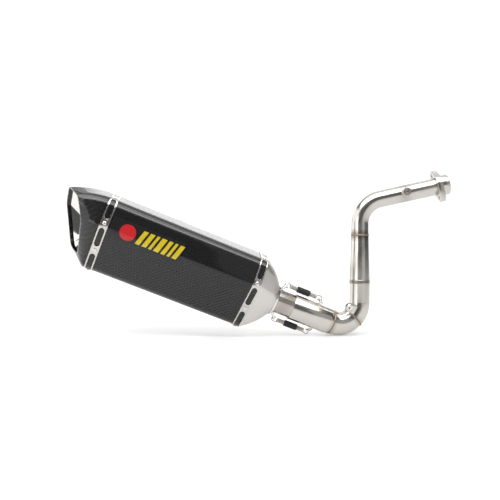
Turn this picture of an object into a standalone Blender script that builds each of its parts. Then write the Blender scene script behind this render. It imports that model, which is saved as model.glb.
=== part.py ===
"""Motorcycle racing exhaust: header pipe, link pipe, carbon-sleeved muffler and their small parts.

The port-end face is centred on the origin. +X points forward out of the header's upper end,
+Z is up, and the muffler runs back and up towards -X. All sizes are in metres.
"""

from math import acos, atan2, cos, pi, radians, sin, sqrt, tan

import bmesh
import bpy
from mathutils import Matrix, Vector

MM = 0.001
GAP = 0.3 * MM              # clearance between neighbouring pieces

# Header pipe, in the vertical plane through the port
PORT_TILT = radians(12.5)   # the upper end of the header rises this much towards the port
HEADER_OD = 32 * MM
TUBE_WALL = 1.5 * MM
UPPER_STRAIGHT = 128 * MM   # port face to the start of the first bend
UPPER_BEND_R = 47 * MM
TAPER_TOP_Z = -94 * MM      # weld between the bent header and the tapered tube
TAPER_END_Z = -177 * MM
LOWER_OD = 37.5 * MM
JOINT_RING_LENGTH = 7 * MM
JOINT_RING_PROUD = 0.9 * MM
LOWER_BEND_TOP_Z = -218 * MM
LOWER_BEND_R = 40 * MM
SEAM_TURN = radians(47)     # where the lower bend is welded to its elbow
SEAM_OD = 41.5 * MM
ELBOW_OD = 44.5 * MM

# Link pipe and muffler share one rising axis
MUFFLER_RISE = radians(22)
MUFFLER_YAW = radians(9)    # the muffler leans this much towards -Y
MUFFLER_ROLL = radians(14)
STUB_OD = 44.4 * MM
STUB_R = STUB_OD / 2
LINK_WALL = 1.5 * MM
LINK_R = STUB_R + GAP + LINK_WALL
LINK_LENGTH = 81 * MM
LINK_FLARE = 9 * MM
SLIP_LAP = 38 * MM          # how far the stub reaches into the link pipe
STUB_REAR = 75 * MM         # the stub's inner end, from the link pipe's mouth

# Muffler stations, measured back from the link pipe's mouth
CONE_END = 33 * MM
CONE_COLLAR_WALL = 6.8 * MM
CONE_COLLAR_OD = STUB_OD + 2 * CONE_COLLAR_WALL
CONE_COLLAR_LENGTH = 4 * MM
CONE_WALL = 1.5 * MM
SLEEVE_FRONT = 77 * MM
SLEEVE_LENGTH = 294 * MM
SLEEVE_REAR = SLEEVE_FRONT + SLEEVE_LENGTH
SLEEVE_WALL = 2 * MM
SPIGOT_LENGTH = 16 * MM     # how far the cone and the cap reach inside the sleeve
SPIGOT_WALL = 1.6 * MM
TOP_HALF_WIDTH = 30 * MM    # rounded six-sided section of the sleeve
TOP_HEIGHT = 67 * MM
RIDGE_HALF_WIDTH = 50 * MM
RIDGE_HEIGHT = 22 * MM
BOTTOM_HALF_WIDTH = 24 * MM
BOTTOM_HEIGHT = 68 * MM
CORNER_R = 18 * MM
CORNER_STEPS = 3
FACET_STEPS = 3             # straight steps along each flat of the section

BAND_WIDTH = 14.5 * MM
BAND_THICKNESS = 1.0 * MM
SLOT_WIDTH = 10 * MM
SLOT_LENGTH = 38 * MM
RIVETS_PER_BAND = 7
RIVET_HEAD_D = 7.0 * MM
RIVET_SHANK_D = 3.4 * MM

LABEL_LENGTH = 128 * MM
LABEL_HEIGHT = 38 * MM
LABEL_RAISE = 7 * MM        # the decal's middle sits this far above the ridge
LABEL_THICKNESS = 0.4 * MM

# Slanted outlet of the end cap
MOUTH_REACH = 46 * MM       # sleeve end to the middle of the mouth
MOUTH_SCALE = 0.75
MOUTH_RAKE = radians(20)    # top reaches further back than the bottom
MOUTH_SWEEP = radians(29)   # far side reaches further back than the near side
CAP_FULLNESS = 0.84         # mouth scale that the cap's belly heads for half way out
CAP_WALL = 2.2 * MM
LINER_WALL = 1.2 * MM
LINER_DEPTH = 7 * MM        # the liner's edge lies this far inside the cap's lip
LINER_LAP = 12 * MM         # how far the liner's round end reaches into the sleeve
THROAT_REACH = 12 * MM      # sleeve end to the liner's round throat
THROAT_ROUND = 3 * MM       # length over which the throat turns into its straight end

# Inside the muffler
CORE_WALL = 1.5 * MM
CORE_OD = STUB_OD + 2 * (GAP + CORE_WALL)
CORE_FRONT = 60 * MM
PLATE_THICKNESS = 2 * MM
FRONT_PLATE = SLEEVE_FRONT + 20 * MM
REAR_PLATE = SLEEVE_REAR - 25 * MM
HOLES_FROM_PLATE = 25 * MM
CORE_HOLE_D = 9 * MM
CORE_HOLE_ROWS = 3
CORE_HOLES_PER_ROW = 6
PACKING_CLEARANCE = 1.0 * MM
INSERT_CLEARANCE = 1.5 * MM
INSERT_OD = CORE_OD - 2 * (CORE_WALL + INSERT_CLEARANCE)
INSERT_WALL = 1.5 * MM
INSERT_FLANGE = 2 * MM
INSERT_SINK = 2 * MM        # the flange's face lies this far inside the throat
INSERT_LENGTH = 92 * MM
INSERT_BORE = 26 * MM
INSERT_SCREW_D = 4 * MM

# Springs and their hooks
SPRING_WIRE_D = 1.8 * MM
SPRING_OD = 8.6 * MM
SPRING_PITCH = 4.0 * MM
SPRING_HOOK_R = 4.2 * MM
SPRING_SLEEVE_WALL = 1.1 * MM
SPRING_SLEEVE_OD = SPRING_OD + 2 * (GAP + SPRING_SLEEVE_WALL)
SPRING_SLEEVE_LENGTH = 25 * MM
HOOK_BAR_D = 3.5 * MM
HOOK_HALF_SPAN = 6 * MM
HOOK_FOOT_LIFT = HOOK_BAR_D / 2 - GAP   # middle of each leg's end above the pipe
HOOK_CORNER = 2 * MM
STUB_HOOK_FOOT = 29 * MM
STUB_HOOK_BAR = 23 * MM
LINK_HOOK_FOOT = -51 * MM
LINK_HOOK_BAR = -45 * MM
HOOK_BAR_HEIGHT = LINK_R + 9 * MM   # bar centre from the pipe's axis

# Head flange and port collar
COLLAR_PROUD = 3 * MM       # the collar's edge outside the header tube
COLLAR_OD = HEADER_OD + 2 * COLLAR_PROUD
COLLAR_LENGTH = 13 * MM
FLANGE_THICKNESS = 10 * MM
FLANGE_RIM = 3 * MM         # the flange's body outside the collar
FLANGE_BODY_R = COLLAR_OD / 2 + FLANGE_RIM
FLANGE_STUD_SPACING = 2 * (FLANGE_BODY_R + MM)
FLANGE_STUD_HOLE = 9 * MM
FLANGE_EAR_R = 9.5 * MM
FLANGE_RUNNING = 0.5 * MM
FLANGE_TURN = radians(27)

# Lug for a stay on the lower bend
BRACKET_ANGLE = radians(30)
BRACKET_EYE_R = 16 * MM     # from the bend's centre
BRACKET_STANDOFF = LOWER_OD / 2 + 2.75 * MM
BRACKET_TUCK = 10.5 * MM    # how far the lug's foot stops short of the bend's centre line
BRACKET_EYE_OUTER = 8 * MM
BRACKET_THICKNESS = 3 * MM
BRACKET_HOLE = 8.4 * MM
BOSS_OD = 12 * MM
BOSS_THREAD = 7 * MM
BOSS_HEIGHT = 5 * MM

# Sensor bung and its plug
BUNG_AT = 82 * MM           # along the upper straight from the port
BUNG_TURN = radians(6)      # up from straight out at the near side
BUNG_OD = 18 * MM
BUNG_BORE = 12.4 * MM
BUNG_HEIGHT = 6 * MM
BUNG_SINK = 6 * MM          # the bung's blank starts this far inside the header's face
PLUG_HEAD_D = BUNG_OD - 2 * MM
PLUG_HEAD_HEIGHT = 4 * MM
PLUG_SHANK_D = BUNG_BORE - 0.8 * MM
PLUG_SHANK_LENGTH = 9 * MM
PLUG_SOCKET_DEPTH = 5 * MM
PLUG_SOCKET_FLATS = 6 * MM
WASHER_THICKNESS = 1.2 * MM

# Hanger on the sleeve's far side
HANGER_AT = 165 * MM        # from the sleeve's front
HANGER_BASE_OD = 38 * MM
HANGER_BASE_THICKNESS = 3 * MM
HANGER_CUP_WALL = 2.5 * MM
HANGER_HEIGHT = 14 * MM
BUSH_OD = 22 * MM
SPACER_OD = 13 * MM
SPACER_BORE = 8.4 * MM

ROUND_SIDES = 20


def new_material(name, colour, metallic, roughness):
    material = bpy.data.materials.new(name)
    material.use_nodes = True
    shader = material.node_tree.nodes["Principled BSDF"]
    shader.inputs["Base Color"].default_value = (*colour, 1)
    shader.inputs["Metallic"].default_value = metallic
    shader.inputs["Roughness"].default_value = roughness
    return material


def add_node(name, bm, finish):
    """Turn a finished bmesh into one named object with its own material."""
    bmesh.ops.recalc_face_normals(bm, faces=bm.faces)
    mesh = bpy.data.meshes.new(name)
    bm.to_mesh(mesh)
    bm.free()
    mesh.shade_smooth()
    mesh.set_sharp_from_angle(angle=radians(32))
    obj = bpy.data.objects.new(name, mesh)
    bpy.context.scene.collection.objects.link(obj)
    obj.data.materials.append(new_material(name, *FINISHES[finish]))
    return obj


FINISHES = {
    "brushed_tube": ((0.62, 0.60, 0.57), 1.0, 0.28),
    "dark_carbon": ((0.02, 0.02, 0.022), 0.0, 0.22),
    "polished": ((0.75, 0.75, 0.74), 1.0, 0.12),
    "rivet_metal": ((0.70, 0.70, 0.70), 1.0, 0.3),
    "heat_tinted": ((0.50, 0.42, 0.33), 1.0, 0.3),
    "raw_steel": ((0.45, 0.45, 0.45), 1.0, 0.5),
    "fibre": ((0.80, 0.76, 0.60), 0.0, 0.95),
    "black_rubber": ((0.02, 0.02, 0.02), 0.0, 0.7),
    "spring_steel": ((0.55, 0.55, 0.54), 1.0, 0.35),
    "black_label": ((0.03, 0.03, 0.03), 0.0, 0.5),
    "copper": ((0.70, 0.35, 0.20), 1.0, 0.35),
}


def frame_at(origin, along, up_hint):
    """Frame whose Z runs along a direction and whose Y is as near to up_hint as it can be."""
    z = along.normalized()
    y = (up_hint - z * up_hint.dot(z)).normalized()
    x = y.cross(z)
    frame = Matrix((x, y, z)).transposed().to_4x4()
    frame.translation = origin
    return frame


def add_loops(bm, loops, closed):
    """Bridge matching loops of points; a closed run ends where it began, an open one is capped."""
    rings = [[bm.verts.new(p) for p in loop] for loop in loops]
    pairs = list(zip(rings, rings[1:]))
    if closed:
        pairs.append((rings[-1], rings[0]))
    for first, second in pairs:
        for i in range(len(first)):
            j = (i + 1) % len(first)
            bm.faces.new((first[i], first[j], second[j], second[i]))
    if not closed:
        bm.faces.new(rings[0])
        bm.faces.new(rings[-1])


def loft(name, loops, finish, closed=True):
    bm = bmesh.new()
    add_loops(bm, loops, closed)
    return add_node(name, bm, finish)


def circle(frame, radius, height=0.0, sides=ROUND_SIDES):
    return [
        frame @ Vector((radius * cos(2 * pi * i / sides), radius * sin(2 * pi * i / sides), height))
        for i in range(sides)
    ]


def turned(name, frame, profile, finish, closed=True, sides=ROUND_SIDES):
    """Turn a profile of (radius, height) points about the frame's Z."""
    return loft(name, [circle(frame, r, h, sides) for r, h in profile], finish, closed)


def bent_tube(name, stations, finish):
    """Hollow tube through stations of (centre, direction, outer radius), all in one plane."""
    frames = [frame_at(c, d, n) for c, d, _, n in stations]
    outer = [circle(f, s[2]) for f, s in zip(frames, stations)]
    inner = [circle(f, s[2] - TUBE_WALL) for f, s in zip(frames, stations)]
    return loft(name, outer + inner[::-1], finish)


def rod(name, points, radius, sides, finish):
    """Round rod through a run of points, turned as little as possible on the way."""
    ways = [(b - a).normalized() for a, b in zip(points, points[1:])]
    tangents = [ways[0]] + [(a + b).normalized() for a, b in zip(ways, ways[1:])] + [ways[-1]]
    side = tangents[0].orthogonal().normalized()
    loops = []
    for point, tangent in zip(points, tangents):
        side = (side - tangent * side.dot(tangent)).normalized()
        other = tangent.cross(side)
        turns = [2 * pi * i / sides for i in range(sides)]
        loops.append([point + (side * cos(t) + other * sin(t)) * radius for t in turns])
    return loft(name, loops, finish, closed=False)


def cut(obj, cutter):
    """Boolean difference by a wire-drawn cutter that stays out of renders."""
    cutter.hide_render = True
    cutter.display_type = "WIRE"
    modifier = obj.modifiers.new(cutter.name, "BOOLEAN")
    modifier.operation = "DIFFERENCE"
    modifier.solver = "EXACT"
    modifier.object = cutter


def cutter_object(name, bm):
    bmesh.ops.recalc_face_normals(bm, faces=bm.faces)
    mesh = bpy.data.meshes.new(name)
    bm.to_mesh(mesh)
    bm.free()
    obj = bpy.data.objects.new(name, mesh)
    bpy.context.scene.collection.objects.link(obj)
    return obj


# ---- reference points and axes ----

UP = Vector((0, 0, 1))
AWAY = Vector((0, 1, 0))

into_port_pipe = Vector((-cos(PORT_TILT), 0, -sin(PORT_TILT)))
port_frame = frame_at(Vector((0, 0, 0)), into_port_pipe, UP)
upper_bend_start = into_port_pipe * UPPER_STRAIGHT
upper_turn = pi / 2 - PORT_TILT
under_port_pipe = Vector((sin(PORT_TILT), 0, -cos(PORT_TILT)))
upper_bend_centre = upper_bend_start + under_port_pipe * UPPER_BEND_R
vertical_x = upper_bend_centre.x - UPPER_BEND_R

muffler_heading = Vector((-cos(MUFFLER_YAW), -sin(MUFFLER_YAW), 0))
muffler_dir = muffler_heading * cos(MUFFLER_RISE) + UP * sin(MUFFLER_RISE)
bend_normal = UP.cross(muffler_heading)
lower_bend_start = Vector((vertical_x, 0, LOWER_BEND_TOP_Z))
lower_bend_centre = lower_bend_start + muffler_heading * LOWER_BEND_R
lower_turn = pi / 2 + MUFFLER_RISE


def lower_bend_at(turn):
    """Centre and direction of the lower bend, turned so far from straight down."""
    centre = lower_bend_centre - (muffler_heading * cos(turn) + UP * sin(turn)) * LOWER_BEND_R
    return centre, muffler_heading * sin(turn) - UP * cos(turn)


link_start = lower_bend_at(lower_turn)[0]
mouth_centre = link_start + muffler_dir * LINK_LENGTH
link_frame = frame_at(mouth_centre, muffler_dir, UP)
muffler_frame = link_frame @ Matrix.Rotation(-MUFFLER_ROLL, 4, "Z")


def remove_old_objects():
    for obj in list(bpy.data.objects):
        bpy.data.objects.remove(obj)


# ---- header ----

def make_header():
    collar_r = HEADER_OD / 2 - TUBE_WALL
    turned("port_collar", port_frame, [
        (collar_r, 0), (COLLAR_OD / 2 - MM, 0), (COLLAR_OD / 2, MM), (COLLAR_OD / 2, COLLAR_LENGTH),
        (collar_r, COLLAR_LENGTH)], "brushed_tube")
    header_r = HEADER_OD / 2
    begin = into_port_pipe * (COLLAR_LENGTH + GAP)
    stations = [(begin, into_port_pipe, header_r, AWAY)]
    bend_steps = 7
    for i in range(bend_steps + 1):
        turn = upper_turn * i / bend_steps
        spoke = PORT_TILT + turn
        out = Vector((-sin(spoke), 0, cos(spoke)))
        way = Vector((-cos(spoke), 0, -sin(spoke)))
        stations.append((upper_bend_centre + out * UPPER_BEND_R, way, header_r, AWAY))
    stations.append((Vector((vertical_x, 0, TAPER_TOP_Z + GAP / 2)), -UP, header_r, AWAY))
    header = bent_tube("upper_header", stations, "brushed_tube")
    lower_r = LOWER_OD / 2
    down = [(TAPER_TOP_Z - GAP / 2, header_r + 0.2 * MM), (TAPER_END_Z, lower_r)]
    bent_tube("taper_tube", [(Vector((vertical_x, 0, z)), -UP, r, AWAY) for z, r in down],
              "brushed_tube")
    ring_bottom = TAPER_END_Z - GAP - JOINT_RING_LENGTH
    ring_frame = frame_at(Vector((vertical_x, 0, ring_bottom)), UP, AWAY)
    proud = lower_r + JOINT_RING_PROUD
    turned("joint_ring", ring_frame, [
        (lower_r - TUBE_WALL, 0), (proud, 0), (proud, JOINT_RING_LENGTH),
        (lower_r - TUBE_WALL, JOINT_RING_LENGTH)], "brushed_tube")

    top = Vector((vertical_x, 0, ring_bottom - GAP))
    bend = [(top, -UP, lower_r, bend_normal)]
    steps = 4
    for i in range(steps + 1):
        centre, way = lower_bend_at(SEAM_TURN * i / steps)
        bend.append((centre, way, lower_r + (SEAM_OD - LOWER_OD) / 2 * i / steps, bend_normal))
    bent_tube("lower_bend", bend, "brushed_tube")
    seam_gap_turn = GAP / (LOWER_BEND_R - SEAM_OD / 2)
    first_turn = SEAM_TURN + seam_gap_turn
    elbow = []
    for i in range(steps + 2):
        share = i / (steps + 1)
        centre, way = lower_bend_at(first_turn + (lower_turn - first_turn) * share)
        radius = (SEAM_OD + (ELBOW_OD - SEAM_OD) * share) / 2
        elbow.append((centre, way, radius, bend_normal))
    bent_tube("lower_elbow", elbow, "brushed_tube")
    start = -LINK_LENGTH + GAP
    elbow_r = ELBOW_OD / 2
    turned("link_pipe", link_frame, [
        (elbow_r - TUBE_WALL, start), (elbow_r, start), (LINK_R, start + LINK_FLARE), (LINK_R, 0),
        (LINK_R - LINK_WALL, 0), (LINK_R - LINK_WALL, start + LINK_FLARE)], "brushed_tube")
    return header


def make_head_flange():
    """Loose two-stud flange behind the port collar, free to turn about the pipe."""
    frame = port_frame @ Matrix.Rotation(FLANGE_TURN, 4, "Z")
    front = COLLAR_LENGTH + GAP
    ear = FLANGE_STUD_SPACING / 2
    lean = acos((FLANGE_BODY_R - FLANGE_EAR_R) / ear)
    steps = 5
    corners = []
    for centre, radius, first, last in (
            (0, FLANGE_BODY_R, pi / 2 + lean - pi, pi / 2 - lean),
            (ear, FLANGE_EAR_R, pi / 2 - lean, pi / 2 + lean),
            (0, FLANGE_BODY_R, pi / 2 + lean, 3 * pi / 2 - lean),
            (-ear, FLANGE_EAR_R, 3 * pi / 2 - lean, 3 * pi / 2 + lean)):
        last_step = steps if radius == FLANGE_EAR_R else steps - 1
        first_step = 0 if radius == FLANGE_EAR_R else 1
        for i in range(first_step, last_step + 1):
            turn = first + (last - first) * i / steps
            corners.append((radius * cos(turn), centre + radius * sin(turn)))
    bm = bmesh.new()
    add_loops(bm, [[frame @ Vector((x, y, z)) for x, y in corners]
                   for z in (front, front + FLANGE_THICKNESS)], closed=False)
    flange = add_node("head_flange", bm, "brushed_tube")
    holes = bmesh.new()
    for y, radius in ((0, HEADER_OD / 2 + FLANGE_RUNNING), (ear, FLANGE_STUD_HOLE / 2),
                      (-ear, FLANGE_STUD_HOLE / 2)):
        place = frame @ Matrix.Translation((0, y, 0))
        sides = ROUND_SIDES if y == 0 else 16
        add_loops(holes, [circle(place, radius, z, sides) for z in
                          (front - MM, front + FLANGE_THICKNESS + MM)], closed=False)
    cut(flange, cutter_object("flange_holes", holes))


def make_sensor_bung(header):
    """Threaded bung on the upper straight, closed by a plug on a crush washer."""
    out = port_frame.to_3x3().col[1] * sin(BUNG_TURN) - AWAY * cos(BUNG_TURN)
    frame = frame_at(into_port_pipe * BUNG_AT, out, into_port_pipe)
    header_r = HEADER_OD / 2
    bore, outer, top = BUNG_BORE / 2, BUNG_OD / 2, header_r + BUNG_HEIGHT
    bung = turned("sensor_bung", frame, [
        (bore, header_r - BUNG_SINK), (outer, header_r - BUNG_SINK), (outer, top - MM),
        (outer - MM, top), (bore, top)], "brushed_tube", sides=20)
    saddle = bmesh.new()
    along = frame_at(Vector((0, 0, 0)), into_port_pipe, UP)
    add_loops(saddle, [circle(along, header_r + GAP, z) for z in
                       (BUNG_AT - 3 * BUNG_OD, BUNG_AT + 3 * BUNG_OD)], closed=False)
    cut(bung, cutter_object("bung_saddle", saddle))
    hole = bmesh.new()
    add_loops(hole, [circle(frame, bore, z, 20) for z in
                     (header_r - BUNG_SINK - 2 * MM, top)], closed=False)
    cut(header, cutter_object("bung_hole", hole))
    seat = top + GAP
    turned("plug_washer", frame, [
        (bore, seat), (outer - MM, seat), (outer - MM, seat + WASHER_THICKNESS),
        (bore, seat + WASHER_THICKNESS)], "copper", sides=20)
    under = seat + WASHER_THICKNESS + GAP
    shank, head = PLUG_SHANK_D / 2, PLUG_HEAD_D / 2
    head_top = under + PLUG_HEAD_HEIGHT
    plug = turned("sensor_plug", frame, [
        (shank, under - PLUG_SHANK_LENGTH), (shank, under), (head, under), (head, head_top - MM),
        (head - MM, head_top)], "raw_steel", closed=False, sides=20)
    socket = bmesh.new()
    across = PLUG_SOCKET_FLATS / sqrt(3)
    add_loops(socket, [circle(frame, across, z, 6) for z in 
                       (head_top - PLUG_SOCKET_DEPTH, head_top + MM)], closed=False)
    cut(plug, cutter_object("plug_socket", socket))


def make_header_bracket():
    """Lug on the near inner side of the lower bend, with a threaded boss for a stay."""
    spoke = -muffler_heading * cos(BRACKET_ANGLE) - UP * sin(BRACKET_ANGLE)
    near = -bend_normal if bend_normal.y > 0 else bend_normal
    eye = lower_bend_centre + spoke * BRACKET_EYE_R + near * BRACKET_STANDOFF
    frame = frame_at(eye, near, spoke)
    reach = LOWER_BEND_R - BRACKET_EYE_R - BRACKET_TUCK
    half_turn = [pi + pi * i / 8 for i in range(9)]
    outline = [(BRACKET_EYE_OUTER * cos(t), BRACKET_EYE_OUTER * sin(t)) for t in half_turn]
    outline += [(BRACKET_EYE_OUTER, reach), (-BRACKET_EYE_OUTER, reach)]
    lug = bmesh.new()
    add_loops(lug, [[frame @ Vector((x, y, z)) for x, y in outline]
                    for z in (-BRACKET_THICKNESS, 0)], closed=False)
    bracket = add_node("header_bracket", lug, "brushed_tube")
    hole = bmesh.new()
    add_loops(hole, [circle(frame, BRACKET_HOLE / 2, z, 16) for z in
                     (-BRACKET_THICKNESS - MM, MM)], closed=False)
    cut(bracket, cutter_object("header_bracket_hole", hole))
    thread_r, boss_r, boss_top = BOSS_THREAD / 2, BOSS_OD / 2, BOSS_HEIGHT
    turned("bracket_boss", frame, [
        (thread_r, GAP), (boss_r, GAP), (boss_r, boss_top - MM), (boss_r - MM, boss_top),
        (thread_r, boss_top)], "rivet_metal", sides=16)


# ---- springs and hooks ----

def make_hook(name, foot, bar, side, pipe_r):
    """Staple welded on a pipe: two legs lean over to a bar that the spring's end goes round."""
    height = HOOK_BAR_HEIGHT
    span = HOOK_HALF_SPAN
    foot_height = sqrt((pipe_r + HOOK_FOOT_LIFT) ** 2 - span ** 2)
    corner = HOOK_CORNER
    lean = bar + (foot - bar) * 0.15
    path = [(-span, foot_height, foot), (-span, height - corner, lean),
            (-span + corner, height, bar), (span - corner, height, bar),
            (span, height - corner, lean), (span, foot_height, foot)]
    points = [link_frame @ Vector((x, y * side, z)) for x, y, z in path]
    rod(name, points, HOOK_BAR_D / 2, 8, "rivet_metal")


def make_spring(name, side):
    """Close-coiled tension spring with an open hook at each end, lying along the pipes."""
    coil_r = (SPRING_OD - SPRING_WIRE_D) / 2
    seat = SPRING_HOOK_R - SPRING_WIRE_D / 2 - HOOK_BAR_D / 2 - GAP
    first, last = LINK_HOOK_BAR + seat, STUB_HOOK_BAR - seat
    coil_start, coil_end = first + SPRING_HOOK_R * 1.5, last - SPRING_HOOK_R * 1.5
    turns = round((coil_end - coil_start) / SPRING_PITCH)
    per_turn, hook_steps = 6, 7
    path = []
    for i in range(hook_steps + 1):
        t = radians(-40 - 230 * i / hook_steps)
        path.append((0, SPRING_HOOK_R * sin(t), first + SPRING_HOOK_R * cos(t)))
    for i in range(turns * per_turn + 1):
        t = 2 * pi * i / per_turn
        reach = coil_start + (coil_end - coil_start) * i / (turns * per_turn)
        path.append((coil_r * sin(t), coil_r * cos(t), reach))
    for i in range(hook_steps + 1):
        t = radians(90 - 230 * i / hook_steps)
        path.append((0, SPRING_HOOK_R * sin(t), last + SPRING_HOOK_R * cos(t)))
    lift = HOOK_BAR_HEIGHT
    points = [link_frame @ Vector((x, (lift + y) * side, z)) for x, y, z in path]
    rod(name, points, SPRING_WIRE_D / 2, 4, "spring_steel")
    middle = (coil_start + coil_end) / 2
    axis = link_frame @ Matrix.Translation((0, lift * side, middle))
    bore, outer, half = SPRING_OD / 2 + GAP, SPRING_SLEEVE_OD / 2, SPRING_SLEEVE_LENGTH / 2
    turned(name + "_sleeve", axis, [(bore, -half), (outer, -half), (outer, half), (bore, half)],
           "black_rubber", sides=12)


def make_springs():
    for place, side in (("upper", 1), ("lower", -1)):
        make_hook(place + "_stub_hook", STUB_HOOK_FOOT, STUB_HOOK_BAR, side, STUB_R)
        make_hook(place + "_link_hook", LINK_HOOK_FOOT, LINK_HOOK_BAR, side, LINK_R)
        make_spring(place + "_spring", side)


# ---- muffler section ----

SECTION = [(TOP_HALF_WIDTH, TOP_HEIGHT), (-TOP_HALF_WIDTH, TOP_HEIGHT),
           (-RIDGE_HALF_WIDTH, RIDGE_HEIGHT), (-BOTTOM_HALF_WIDTH, -BOTTOM_HEIGHT),
           (BOTTOM_HALF_WIDTH, -BOTTOM_HEIGHT), (RIDGE_HALF_WIDTH, RIDGE_HEIGHT)]


def outward(way):
    """Outward normal of an edge of an outline that runs counter-clockwise."""
    return Vector((way.y, -way.x)).normalized()


def corner_arcs():
    """Centre, first angle and turn of each rounded corner of the section."""
    arcs = []
    points = [Vector(p) for p in SECTION]
    for i, corner in enumerate(points):
        before = outward(corner - points[i - 1])
        after = outward(points[(i + 1) % len(points)] - corner)
        centre = corner - (before + after) * (CORNER_R / (1 + before.dot(after)))
        arcs.append((centre, atan2(before.y, before.x), acos(before.dot(after))))
    return arcs


ARCS = corner_arcs()


def section(offset=0.0, scale=1.0):
    """Rounded outline in the muffler's frame, scaled and then moved out by offset."""
    corners = []
    for centre, first, sweep in ARCS:
        turns = [first + sweep * i / CORNER_STEPS for i in range(CORNER_STEPS + 1)]
        ways = [Vector((cos(turn), sin(turn))) for turn in turns]
        corners.append([(centre + way * CORNER_R) * scale + way * offset for way in ways])
    outline = []
    for corner, following in zip(corners, corners[1:] + corners[:1]):
        shares = [i / FACET_STEPS for i in range(1, FACET_STEPS)]
        outline += corner + [corner[-1].lerp(following[0], share) for share in shares]
    return outline


def section_steps():
    """Straight steps of the outline, counter-clockwise from the left end of the top."""
    outline = section()
    first = 2 * CORNER_STEPS + FACET_STEPS
    outline = outline[first:] + outline[:first]
    return list(zip(outline, outline[1:] + outline[:1]))


PERIMETER = sum((b - a).length for a, b in section_steps())


def outline_at(distance):
    """Point and outward normal at a distance round the section from the top's left end."""
    distance = distance % PERIMETER
    for a, b in section_steps():
        length = (b - a).length
        if distance <= length:
            break
        distance -= length
    return a.lerp(b, min(distance / length, 1.0)), outward(b - a)


def ring(outline, height, frame=None):
    frame = frame or muffler_frame
    return [frame @ Vector((p.x, p.y, height)) for p in outline]


def round_like(outline, radius):
    """Circle whose points lie straight inside those of an outline."""
    return [p.normalized() * radius for p in outline]


def even_round(radius):
    """Evenly spaced circle with as many points as the section."""
    outline = section()
    start, count = atan2(outline[0].y, outline[0].x), len(outline)
    turns = [start + 2 * pi * i / count for i in range(count)]
    return [Vector((cos(turn), sin(turn))) * radius for turn in turns]


def part_way(first, second, share):
    return [a.lerp(b, share) for a, b in zip(first, second)]


def slanted(outline, reach, depth=0.0):
    """Outline on the plane of the slanted mouth, reach behind the sleeve's end."""
    back, rake, sweep = SLEEVE_REAR + reach - depth, tan(MOUTH_RAKE), tan(MOUTH_SWEEP)
    return [muffler_frame @ Vector((p.x, p.y, back + p.y * rake - p.x * sweep)) for p in outline]


def band_holes(name, station):
    """Cutter for the shanks of one band's rivets."""
    bm = bmesh.new()
    for i in range(RIVETS_PER_BAND):
        point, normal = outline_at(PERIMETER * i / RIVETS_PER_BAND)
        frame = rivet_frame(point, normal, station)
        add_loops(bm, [circle(frame, RIVET_SHANK_D / 2 + 1.5 * GAP, z, 6) for z in
                       (-SLEEVE_WALL - 8 * MM, BAND_THICKNESS + 3 * MM)], closed=False)
    return cutter_object(name, bm)


def rivet_frame(point, normal, station):
    place = muffler_frame @ Vector((point.x, point.y, station))
    out = muffler_frame.to_3x3() @ Vector((normal.x, normal.y, 0))
    return frame_at(place, out, muffler_dir)


def make_band(name, station):
    """Slotted strap round the sleeve's end, with a rivet between every two slots."""
    inner, outer, half = GAP, GAP + BAND_THICKNESS, BAND_WIDTH / 2
    front, back = station - half, station + half
    band = loft(name, [ring(section(outer), front), ring(section(outer), back),
                       ring(section(inner), back), ring(section(inner), front)], "polished")
    slots = bmesh.new()
    end_r, steps = SLOT_WIDTH / 2, 9
    for k in range(RIVETS_PER_BAND):
        middle = PERIMETER * (k + 0.5) / RIVETS_PER_BAND
        loops = []
        for i in range(steps + 1):
            along = -cos(pi * i / steps) * SLOT_LENGTH / 2
            past = max(0.0, abs(along) - (SLOT_LENGTH / 2 - end_r))
            width = max(sqrt(max(end_r ** 2 - past ** 2, 0.0)), 0.3 * MM)
            point, normal = outline_at(middle + along)
            low, high = point - normal * 0.1 * MM, point + normal * (outer + 2 * MM)
            loops.append([muffler_frame @ Vector((p.x, p.y, station + w)) for p, w in
                          ((low, -width), (low, width), (high, width), (high, -width))])
        add_loops(slots, loops, closed=False)
    cut(band, cutter_object(name + "_slots", slots))
    head_r, shank_r = RIVET_HEAD_D / 2, RIVET_SHANK_D / 2
    seat = GAP + BAND_THICKNESS + GAP
    for i in range(RIVETS_PER_BAND):
        point, normal = outline_at(PERIMETER * i / RIVETS_PER_BAND)
        turned(f"{name}_rivet_{i + 1}", rivet_frame(point, normal, station), [
            (shank_r, -SLEEVE_WALL - 1.5 * MM), (shank_r, seat), (head_r, seat),
            (head_r * 0.8, seat + 0.9 * MM), (head_r * 0.35, seat + 1.4 * MM)],
            "rivet_metal", closed=False, sides=6)
    return band


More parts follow.
